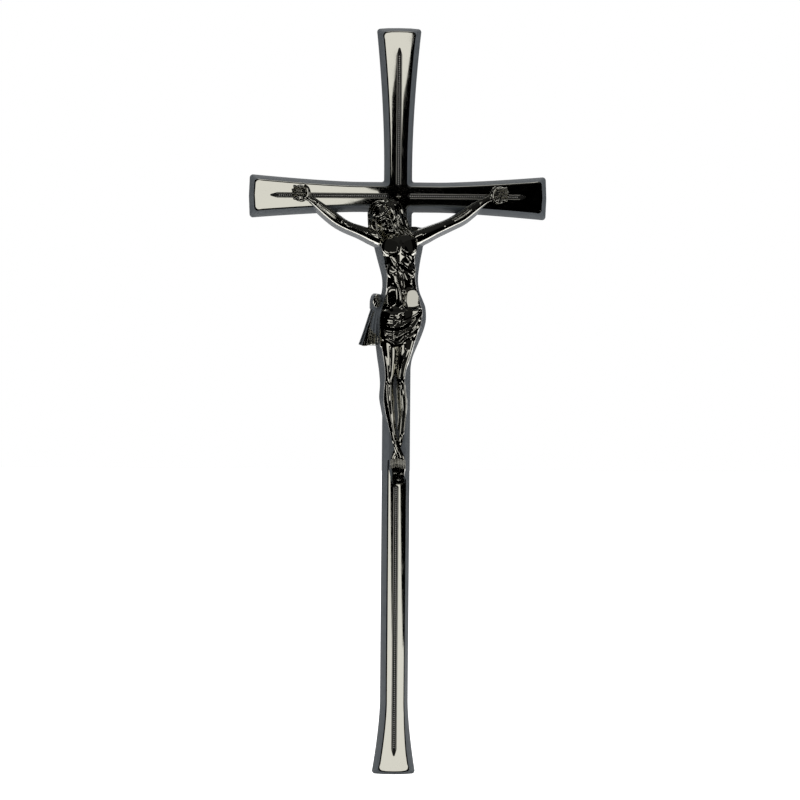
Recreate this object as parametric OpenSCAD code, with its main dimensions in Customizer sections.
// Grave cross with a figure in relief, one hollow-backed metal casting.
// Z is up, the front faces -Y and the back lies in the plane y = 0.
// The origin is the middle of the crossing on the back plane, on the axis of the crossing stud.
// All sizes are in millimetres.

/* [Cross] */
// Height over all
cross_height = 400; // [340:1:480]
// Width over the crossbar
cross_width = 159; // [136:1:190]
// Height of the top arm above the crossing
top_arm = 90; // [75:1:110]
// Width of the shaft
shaft_width = 15; // [14:0.5:18]
// Width of the top end
top_end_width = 24; // [20:0.5:29]
// Height of the crossbar at the crossing
bar_height = 16.1; // [14:0.1:20]
// Height of the crossbar at its ends
bar_end_height = 23.3; // [20:0.1:28]
// Width of the foot
foot_width = 23.8; // [20:0.1:29]
// Length of the flare at the foot
foot_flare = 40; // [30:1:50]
// Depth from the back plane to the polished face
body_depth = 9; // [8:0.1:11]
// How far the drafted sides lean in over their depth
draft_run = 2.9; // [2.2:0.1:3.2]
// Width of the bevel round the polished face
edge_bevel = 0.7; // [0.4:0.1:1]
// Radius at the outer corners
corner_radius = 1.8; // [1:0.1:2.5]
// Radius in the inner corners
fillet_radius = 1.3; // [0.8:0.1:2]
// Rise of the slightly rounded ends
end_rise = 0.4; // [0.2:0.1:0.8]

/* [Channels] */
// Width of the sunk channels
channel_width = 3.5; // [2.8:0.1:4]
// Depth of the sunk channels
channel_depth = 0.8; // [0.5:0.1:1]
// Distance from the crossing to the inner end of each channel
channel_start = 5; // [4.5:0.1:6]
// Distance from each end of the cross to the tip of its channel
channel_margin = 11.6; // [10:0.1:15]
// Width of the cord in each channel
cord_width = 1.9; // [1.4:0.1:2.2]
// Radius of the small dome on the crossing
dome_radius = 1.3; // [1:0.1:1.6]

/* [Back] */
// Width of the wall round the hollow back
back_wall = 2.4; // [2:0.1:2.8]
// Thickness left between the hollow and the polished face
face_wall = 2.8; // [2.4:0.1:3.5]
// Radius of the stud bosses
boss_radius = 4.6; // [4:0.1:5]
// Radius of the tapped holes
stud_radius = 2.1; // [1.7:0.1:2.6]
// Depth of the tapped holes
stud_depth = 6; // [5:0.1:6.5]
// Height of the upper stud above the crossing
upper_stud = 60; // [40:1:66]
// Drop of the lower stud below the crossing
lower_stud = 230; // [190:1:250]

/* [Figure] */
// Height of the figure from the fingertips to the foot block
figure_height = 158.6; // [138:0.2:190]
// How far the figure stands out at the chest, from the back plane
chest_reach = 18.5; // [15:0.1:21]
// Length of the head from crown to chin
head_length = 17; // [14:0.1:20]
// Width of the head without its hair
head_width = 11; // [9:0.1:13]
// Radius of the upper arm
arm_radius = 2.6; // [2:0.1:3.2]
// Radius of the wrist
wrist_radius = 1.7; // [1.3:0.1:2.1]
// Radius of the thigh below the cloth
thigh_radius = 3.9; // [3.2:0.1:4.4]
// Radius of the calf
calf_radius = 3; // [2.5:0.1:3.5]
// Radius of the ankle
ankle_radius = 1.5; // [1.2:0.1:1.9]
// Number of rings of folds down the cloth
fold_count = 11; // [8:1:15]
// Depth of the folds
fold_depth = 0.45; // [0.2:0.05:0.7]

/* [View] */

/* [Hidden] */
front = -body_depth;
bar_reach = cross_width / 2;
shaft_reach = cross_height - top_arm;
half_shaft = shaft_width / 2;
half_bar = bar_height / 2;
top_flare_start = 15;
bar_flare_start = 22;
corner_steps = 3;
side_steps = 6;
cavity_lean = draft_run * (body_depth - face_wall) / body_depth;
round_sides = 12;
drawn_height = 158.6;
figure_scale = figure_height / drawn_height;
metal = [0.2, 0.2, 0.19];

// Half widths of the flared arms

function flare(at, start, reach, neck, extra, power) =
    at <= start ? neck : neck + extra * pow((at - start) / (reach - start), power);
function top_half(z) =
    flare(z, top_flare_start, top_arm, half_shaft, (top_end_width - shaft_width) / 2, 1.8);
function bar_half(x) =
    flare(x, bar_flare_start, bar_reach, half_bar, (bar_end_height - bar_height) / 2, 1.4);
function foot_half(drop) =
    flare(drop, shaft_reach - foot_flare, shaft_reach, half_shaft, (foot_width - shaft_width) / 2, 1.55);

// The outline of the cross, drawn in by a given distance

function unit(v) = v / norm(v);
function corner(before, p, after, r) =
    let (u = unit(before - p), v = unit(after - p))
    let (half = acos(u * v) / 2)
    let (centre = p + unit(u + v) * r / sin(half))
    let (first = p + u * r / tan(half) - centre, last = p + v * r / tan(half) - centre)
    [for (i = [0:corner_steps]) centre + r * unit(first * (corner_steps - i) + last * i)];
function between(a, b, i, n) = a + (b - a) * i / n;

function top_side(d) =
    let (end = top_arm - d - 4)
    [for (i = [0:side_steps])
        let (z = between(end, top_flare_start, i, side_steps))
        [top_half(z) - d, z]];
function bar_side(d, s) =
    let (end = bar_reach - d - 4)
    [for (i = [0:side_steps])
        let (x = between(bar_flare_start, end, i, side_steps))
        [x, s * (bar_half(x) - d)]];
function foot_side(d) =
    let (end = shaft_reach - d - 4)
    [for (i = [0:side_steps])
        let (drop = between(shaft_reach - foot_flare, end, i, side_steps))
        [foot_half(drop) - d, -drop]];
function reversed(list) = [for (i = [len(list) - 1:-1:0]) list[i]];

function right_half(d) =
    let (top = top_side(d), over = bar_side(d, 1), under = reversed(bar_side(d, -1)), foot = foot_side(d))
    let (top_z = top_arm - d, bar_x = bar_reach - d, foot_z = d - shaft_reach)
    let (top_x = top_half(top_arm) - d, bar_z = bar_half(bar_reach) - d, foot_x = foot_half(shaft_reach) - d)
    concat(
        [[0, top_z], [top_x / 2, top_z - end_rise / 4]],
        corner([0, top_z - end_rise], [top_x, top_z - end_rise], top[0], corner_radius),
        top,
        corner(top[side_steps], [half_shaft - d, half_bar - d], over[0], fillet_radius + d / 4),
        over,
        corner(over[side_steps], [bar_x - end_rise, bar_z], [bar_x - end_rise, 0], corner_radius),
        [[bar_x, 0]],
        corner([bar_x - end_rise, 0], [bar_x - end_rise, -bar_z], under[0], corner_radius),
        under,
        corner(under[side_steps], [half_shaft - d, d - half_bar], foot[0], fillet_radius + d / 4),
        foot,
        corner(foot[side_steps], [foot_x, foot_z + end_rise], [0, foot_z + end_rise], corner_radius),
        [[foot_x / 2, foot_z + end_rise / 4], [0, foot_z]]
    );
function outline(d) =
    let (right = right_half(d), last = len(right) - 2)
    concat(right, [for (i = [last:-1:1]) [-right[i][0], right[i][1]]]);
function laid(flat, y) = [for (p = flat) [p[0], y, p[1]]];

// A closed skin over a row of rings with the same number of points each

module skin(rings) {
    n = len(rings[0]);
    m = len(rings);
    sides = [
        for (j = [0:m - 2], i = [0:n - 1])
            let (a = j * n + i, b = j * n + (i + 1) % n)
            each [[a, b + n, b], [a, a + n, b + n]]
    ];
    ends = [[for (i = [0:n - 1]) i], [for (i = [n - 1:-1:0]) (m - 1) * n + i]];
    polyhedron(points = [for (r = rings) each r], faces = concat(sides, ends));
}

module cross_blank() {
    skin([
        laid(outline(draft_run + edge_bevel), front),
        laid(outline(draft_run), front + edge_bevel),
        laid(outline(0), 0)
    ]);
}

module hollow() {
    skin([
        laid(outline(back_wall + cavity_lean), front + face_wall),
        laid(outline(back_wall), 1)
    ]);
}

module boss(z) {
    translate([0, 0, z])
        rotate([90, 0, 0])
            cylinder(r = boss_radius, h = body_depth - 1, $fn = 24);
}

// Sunk channels with a raised cord along each

module strip(from, to, width, tip, depth) {
    rotate([90, 0, 0])
        linear_extrude(height = depth)
            polygon([
                [-width * 0.3, from], [width * 0.3, from], [width / 2, from + width * 0.35],
                [width / 2, to - width], [tip / 2, to], [-tip / 2, to],
                [-width / 2, to - width], [-width / 2, from + width * 0.35]
            ]);
}

module channels(width, depth, gap) {
    runs = [
        [0, channel_start, top_arm - channel_margin],
        [90, channel_start, bar_reach - channel_margin],
        [-90, channel_start, bar_reach - channel_margin],
        [180, -block_bottom * figure_scale - 0.5, shaft_reach - channel_margin]
    ];
    for (run = runs)
        rotate([0, run[0], 0])
            strip(run[1] + gap, run[2] - gap, width, width * 0.3, depth);
}

module face_relief() {
    cord_foot = channel_depth + 0.2;
    translate([0, front + cord_foot, 0])
        channels(cord_width, cord_foot - 0.15, (channel_width - cord_width) / 2);
    translate([0, front, 0])
        sphere(r = dome_radius, $fn = 12);
}

// Round forms: a station is [x, z, y, across, depth], across being square to the run

function limb_ring(s, dir) =
    let (u = [-dir[1], dir[0]] / norm(dir))
    [for (i = [0:round_sides - 1])
        let (a = 360 * i / round_sides)
        [s[0] + s[3] * cos(a) * u[0], s[2] - s[4] * sin(a), s[1] + s[3] * cos(a) * u[1]]];
function heading(s, i) =
    let (a = s[max(i - 1, 0)], b = s[min(i + 1, len(s) - 1)])
    [b[0] - a[0], b[1] - a[1]];

module limb(s) {
    skin([for (i = [0:len(s) - 1]) limb_ring(s[i], heading(s, i))]);
}

// The drafted wall that carries a form back to the back plane

function wall_ring(s, dir, lean) =
    let (u = [-dir[1], dir[0]] / norm(dir), top = s[2])
    [for (c = [[1, 0, lean], [1, top, -0.05], [-1, top, -0.05], [-1, 0, lean]])
        [s[0] + c[0] * (s[3] + c[2]) * u[0], c[1], s[1] + c[0] * (s[3] + c[2]) * u[1]]];

module limb_wall(s, lean) {
    skin([for (i = [0:len(s) - 1]) wall_ring(s[i], heading(s, i), lean)]);
}

module ball(at, radii, turn) {
    translate([at[0], at[2], at[1]])
        rotate([0, turn, 0])
            scale(radii)
                sphere(r = 1, $fn = round_sides);
}

// Levels of the figure, below the crossing

chin_z = -21;
chest_z = -28;
waist_z = -44;
navel_z = -52.5;
hip_z = -62;
hem_z = -77;
knee_z = -97;
calf_z = -108;
ankle_z = -129.5;
toe_z = -141;
block_top = -143.4;
block_bottom = -152.8;
figure_axis = 1.6;
limb_y = -11.5;
hand_y = front - 2.2;
chest_deep = chest_reach + front - 0.5;

// Sides -1 and 1 are the left and right of the view

function arm(s) =
    let (reach = s < 0 ? -1 : 1.04, drop = s < 0 ? 1 : 0.86)
    [
        [51 * reach, 1.1, hand_y, wrist_radius * 1.1, wrist_radius * 0.7],
        [46.5 * reach, -2.2, hand_y, wrist_radius, wrist_radius],
        [42.5 * reach, -5.2 * drop, limb_y, wrist_radius * 1.15, wrist_radius * 1.2],
        [36.5 * reach, -9.8 * drop, limb_y, arm_radius * 0.93, arm_radius],
        [30.5 * reach, -14 * drop, limb_y, arm_radius * 0.95, arm_radius],
        [25.5 * reach, -16.4 * drop, limb_y, arm_radius * 0.9, arm_radius],
        [20 * reach, -18.6 * drop, limb_y, arm_radius, arm_radius * 1.15],
        [14.5 * reach, -21.2 * drop, limb_y, arm_radius * 1.25, arm_radius * 1.4],
        [7 * reach, -23.5, limb_y + 1, arm_radius * 1.6, arm_radius * 1.7]
    ];

function thigh(s) = [
    [figure_axis + s * 5, hip_z - 2, limb_y + 1, thigh_radius * 1.15, thigh_radius * 1.2],
    [figure_axis - 1.4 + s * 4.6, hem_z + 3, limb_y, thigh_radius * 1.1, thigh_radius * 1.25],
    [figure_axis - 1.9 + s * 3.7, knee_z + 12, limb_y - 0.8, thigh_radius, thigh_radius * 1.2],
    [figure_axis - 2.6 + s * 2.9, knee_z + 3, limb_y - 1.6, thigh_radius * 0.72, thigh_radius * 0.9],
    [figure_axis - 2.7 + s * 3, knee_z - 1.5, limb_y - 1.5, thigh_radius * 0.7, thigh_radius * 0.86]
];
function shin(s) = [
    [figure_axis - 2.7 + s * 3, knee_z + 0.5, limb_y - 1.5, thigh_radius * 0.7, thigh_radius * 0.84],
    [figure_axis - 2.4 + s * 3.1, calf_z + 5, limb_y - 0.4, calf_radius * 0.95, calf_radius],
    [figure_axis - 2.2 + s * 3.2, calf_z, limb_y, calf_radius, calf_radius * 1.05],
    [figure_axis - 1.6 + s * 2.9, calf_z - 7, limb_y + 0.2, calf_radius * 0.85, calf_radius * 0.95],
    [figure_axis - 1.1 + s * 2.1, calf_z - 14, limb_y, ankle_radius * 1.2, ankle_radius * 1.4],
    [figure_axis - 0.7 + s * 1.4, ankle_z, limb_y + (s + 1) * 0.4, ankle_radius, ankle_radius * 1.3]
];
function foot(s) = [
    [figure_axis - 0.7 + s * 1.4, ankle_z + 1, limb_y + (s + 1) * 0.4, ankle_radius, ankle_radius * 1.3],
    [figure_axis - 0.6 - s * 0.2, ankle_z - 4, limb_y + s * 0.6 - 1, ankle_radius * 1.15, ankle_radius * 1.3],
    [figure_axis - 0.5 - s * 1.5, toe_z + 3.5, limb_y + s * 0.4 - 1, ankle_radius * 1.3, ankle_radius],
    [figure_axis - 0.4 - s * 1.7, toe_z, limb_y - 1.2, ankle_radius * 1.2, ankle_radius * 0.6]
];

module hand(s) {
    palm = [s * 51.6 * (s < 0 ? 1 : 1.03), 1.3, hand_y];
    ball([palm[0], palm[1], hand_y], [4.4, 1.7, 3.7], s * 35);
    for (i = [-1.5:1:1.5])
        ball([palm[0] + s * 2.6, palm[1] + i * 1.7 + 0.3, hand_y - 0.9], [2.4, 1.1, 0.8], s * 15);
    ball([palm[0] - s * 2.2, palm[1] + 2.4, hand_y - 0.8], [2.6, 1, 0.9], s * 55);
}

// The trunk: [height, left edge, right edge, how far it stands out from its axis]

trunk_rows = [
    [-17.5, -6, 5, chest_deep * 0.45],
    [-20, -9.5, 10, chest_deep * 0.72],
    [chin_z - 3, -9, 10.4, chest_deep * 0.92],
    [chest_z, -8.2, 9.9, chest_deep],
    [chest_z - 5, -6.9, 9.2, chest_deep * 0.94],
    [-40, -5.9, 9.2, chest_deep * 0.82],
    [waist_z, -5.7, 9.4, chest_deep * 0.76],
    [navel_z, -6.6, 11, chest_deep * 0.8],
    [hip_z + 4, -8, 12.6, chest_deep * 0.84],
    [hip_z - 4, -9.2, 12.8, chest_deep * 0.84],
    [hem_z + 5, -9.4, 10.6, chest_deep * 0.8],
    [hem_z, -8.8, 8.2, chest_deep * 0.62]
];

module trunk() {
    skin([
        for (r = reversed(trunk_rows))
            limb_ring([(r[1] + r[2]) / 2, r[0], front - 0.5, (r[2] - r[1]) / 2, r[3]], [0, 1])
    ]);
    for (s = [-1, 1])
        ball([figure_axis - 0.8 + s * 4, chest_z + 1.6, front - chest_deep * 0.62], [5, 3.5, 3.9], s * 24);
}

// The cloth: swagged rings that stand out and in by turns, rising to the right hip

function cloth_ring(t, half, deep, mid, out) =
    [for (i = [0:23])
        let (a = 15 * i, full = pow(abs(sin(a)), 0.7) * sign(sin(a)), bell = max(0, sin(a)))
        let (high = between(-60.6, hem_z, t, 1) + between(1.8, 1, t, 1) * cos(a))
        [mid + (half + out) * cos(a), front - 0.5 - (deep + out) * full,
            high - bell * between(0.8, 2.4, t, 1)]];

module cloth() {
    rows = fold_count - 1;
    skin([
        for (j = [0:rows])
            let (t = j / rows, out = fold_depth * (j % 2 == 0 ? 1 : -1))
            cloth_ring(t, 11 + 0.5 * sin(180 * t) - 2 * t * t, chest_deep * (0.82 + 0.1 * sin(150 * t)),
                between(2.5, -0.4, t, 1), out)
    ]);
}

// The end of the cloth that hangs free beside the hip, with its knot

module drape() {
    n = 9;
    function pleat(i, t) = t * 0.5 * cos(i * 120);
    rings = [
        for (t = [1, 0.66, 0.33, 0])
            let (left = between(-12.6, -19.2, t, 1), right = between(-8, -9, t, 1), z = between(-58, -78.6, t, 1))
            concat(
                [for (i = [0:n]) [between(left, right, i, n), 0.5 - 7 + pleat(i, t), z - t * 1.6 * i / n]],
                [for (i = [n:-1:0]) [between(left - 0.5, right, i, n), 0, z - t * 1.6 * i / n]]
            )
    ];
    skin(rings);
    ball([-11, -54.6, -4.6], [2.7, 3.6, 4.4], -20);
}

// The head leans to one side; hair falls to both shoulders

module head() {
    lean = -30;
    translate([-7, front - 4.5, -11])
        rotate([0, lean, 0]) {
            scale([head_width / 2, head_width * 0.56, head_length / 2])
                sphere(r = 1, $fn = 16);
            translate([0, -head_width * 0.56, -1.2])
                rotate([90, 0, 0])
                    scale([1, 1.9, 1])
                        cylinder(r1 = 1.4, r2 = 0.3, h = 2, center = true, $fn = 8);
            translate([0, -2, -head_length * 0.44])
                scale([0.34 * head_width, 3.6, 3.4])
                    sphere(r = 1, $fn = 12);
        }
}

module hair() {
    ball([-8.3, -8.2, front - 2.6], [7.9, 5.2, 7.4], -32);
    for (i = [0:4]) {
        limb([
            [-12.6 + i * 1.3, -8 - i * 0.6, front - 2.1, 1.5, 2.2],
            [-14 + i * 1.35, -14.5, front - 2.6 - i * 0.5, 1.4, 2.1],
            [-13.4 + i * 1.5, -23.6 - i * 0.37, front - 3.3 - i * 0.7, 0.8, 1]
        ]);
        limb([
            [-3.4 + i * 0.9, -5 - i * 0.9, front - 2.3, 1.5, 1.9],
            [0.4 + i * 1.3, -12.3 - i * 0.7, front - 3.6, 1.6, 2.1],
            [1.2 + i * 2, -22.4 + i * 0.63, front - 5.1 + i * 0.41, 0.9, 1.1]
        ]);
    }
}

// The wall behind the trunk and thighs: [height, left edge, right edge] at the back plane

wall_rows = [
    [-18, -13, 13], [-26, -12.6, 13.6], [-34.5, -10.4, 12.1], [-43, -8.2, 11.1],
    [-49.5, -8.1, 11.7], [-56, -9.6, 14.4], [-62, -11.5, 15.5], [-67, -11.6, 15.4],
    [-73, -11.4, 13.5], [-79.4, -11.2, 10.9], [-86, -10.4, 8.3], [-92.5, -9.4, 7.4],
    [-100, -8.8, 7.2], [-107, -9.2, 7.2], [-114, -8, 7.2], [-118, -7.2, 7.2]
];

module trunk_wall() {
    deep = front - 0.6;
    skin([
        for (r = reversed(wall_rows))
            [[r[1], 0, r[0]], [r[1] + draft_run, deep, r[0]], [r[2] - draft_run, deep, r[0]], [r[2], 0, r[0]]]
    ]);
}

module foot_block() {
    skin([
        for (r = [[block_bottom, 2.5], [block_bottom + 1, 2.9], [block_top, 3.5]])
            [for (c = [[-1, front + 1], [-1, front - 3.4], [1, front - 3.4], [1, front + 1]])
                [figure_axis - 0.5 + c[0] * r[1], c[1], r[0]]]
    ]);
    for (stud = [[-1.6, 3.5], [1.6, 3.5], [0.2, 6.6]])
        translate([figure_axis - 0.5 + stud[0], front - 3.4, block_top - stud[1]])
            sphere(r = 0.55, $fn = 8);
}

module figure() {
    scale([figure_scale, 1, figure_scale]) {
        trunk();
        trunk_wall();
        cloth();
        drape();
        head();
        hair();
        foot_block();
        for (s = [-1, 1]) {
            limb(arm(s));
            limb_wall(arm(s), 1.1);
            hand(s);
            limb(thigh(s));
            limb(shin(s));
            limb(foot(s));
        }
    }
}

// The parts of the casting are drawn together and brought to the stated size over all

module casting() {
    resize([cross_width, 0, cross_height]) {
        difference() {
            union() {
                difference() {
                    cross_blank();
                    translate([0, front + channel_depth, 0])
                        channels(channel_width, channel_depth + 1, 0);
                }
                face_relief();
                figure();
            }
            difference() {
                hollow();
                boss(0);
                boss(upper_stud);
                boss(-lower_stud);
            }
        }
    }
}

module stud_hole(z) {
    translate([0, 1, z])
        rotate([90, 0, 0])
            cylinder(r = stud_radius, h = stud_depth + 1, $fn = 48);
}

module cross() {
    color(metal)
        difference() {
            casting();
            stud_hole(0);
            stud_hole(upper_stud);
            stud_hole(-lower_stud);
        }
}

cross();
